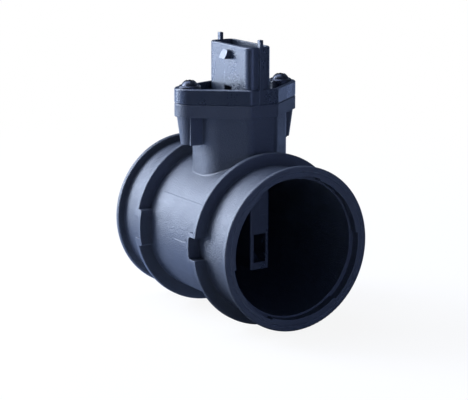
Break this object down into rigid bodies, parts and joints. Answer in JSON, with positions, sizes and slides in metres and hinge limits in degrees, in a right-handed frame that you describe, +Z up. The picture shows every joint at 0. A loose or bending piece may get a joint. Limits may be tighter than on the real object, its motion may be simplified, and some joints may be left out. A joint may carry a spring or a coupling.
{
  "type": "mass airflow sensor",
  "caption": "Moulded flow tube with beaded hose ends and a plug-in sensor screwed to its neck, whose probe hangs in the air stream below a socket.",
  "frame": {"origin": "centre of the inlet bead, on the tube's axis", "axes": "+X along the tube's axis in the direction of the air, +Z up through the plug and the connector"},
  "size_m": [0.0936, 0.0742, 0.1211],
  "materials": {
    "tube_plastic": "black glass-filled plastic with a fine eroded grain",
    "housing_plastic": "black glass-filled plastic, smoother than the tube",
    "cover_plastic": "black glass-filled plastic, smooth",
    "screw_steel": "black passivated zinc on steel",
    "terminal_metal": "tin plated",
    "plate_metal": "rolled sheet",
    "board_ceramic": "white fired alumina",
    "chip_resin": "moulded epoxy",
    "capacitor_ceramic": "fired ceramic",
    "holder_resin": "filled resin",
    "silicon": "polished wafer",
    "seal_rubber": "moulded",
    "thermistor_resin": "dipped epoxy",
    "lead_wire": "tinned wire"
  },
  "bodies": {
    "root": {"flow_tube": "tube_plastic", "sensor_housing": "housing_plastic", "probe_cover": "cover_plastic", "carrier_plate": "plate_metal", "circuit_board": "board_ceramic", "control_chip": "chip_resin", "capacitor_1": "capacitor_ceramic", "capacitor_2": "capacitor_ceramic", "capacitor_3": "capacitor_ceramic", "chip_holder": "holder_resin", "sensing_chip": "silicon", "seal_ring": "seal_rubber", "air_thermistor": "thermistor_resin", "thermistor_lead_upper": "lead_wire", "thermistor_lead_lower": "lead_wire", "screw_left": "screw_steel", "screw_right": "screw_steel", "terminal_1": "terminal_metal", "terminal_2": "terminal_metal", "terminal_3": "terminal_metal", "terminal_4": "terminal_metal", "terminal_5": "terminal_metal"}
  },
  "joints": []
}
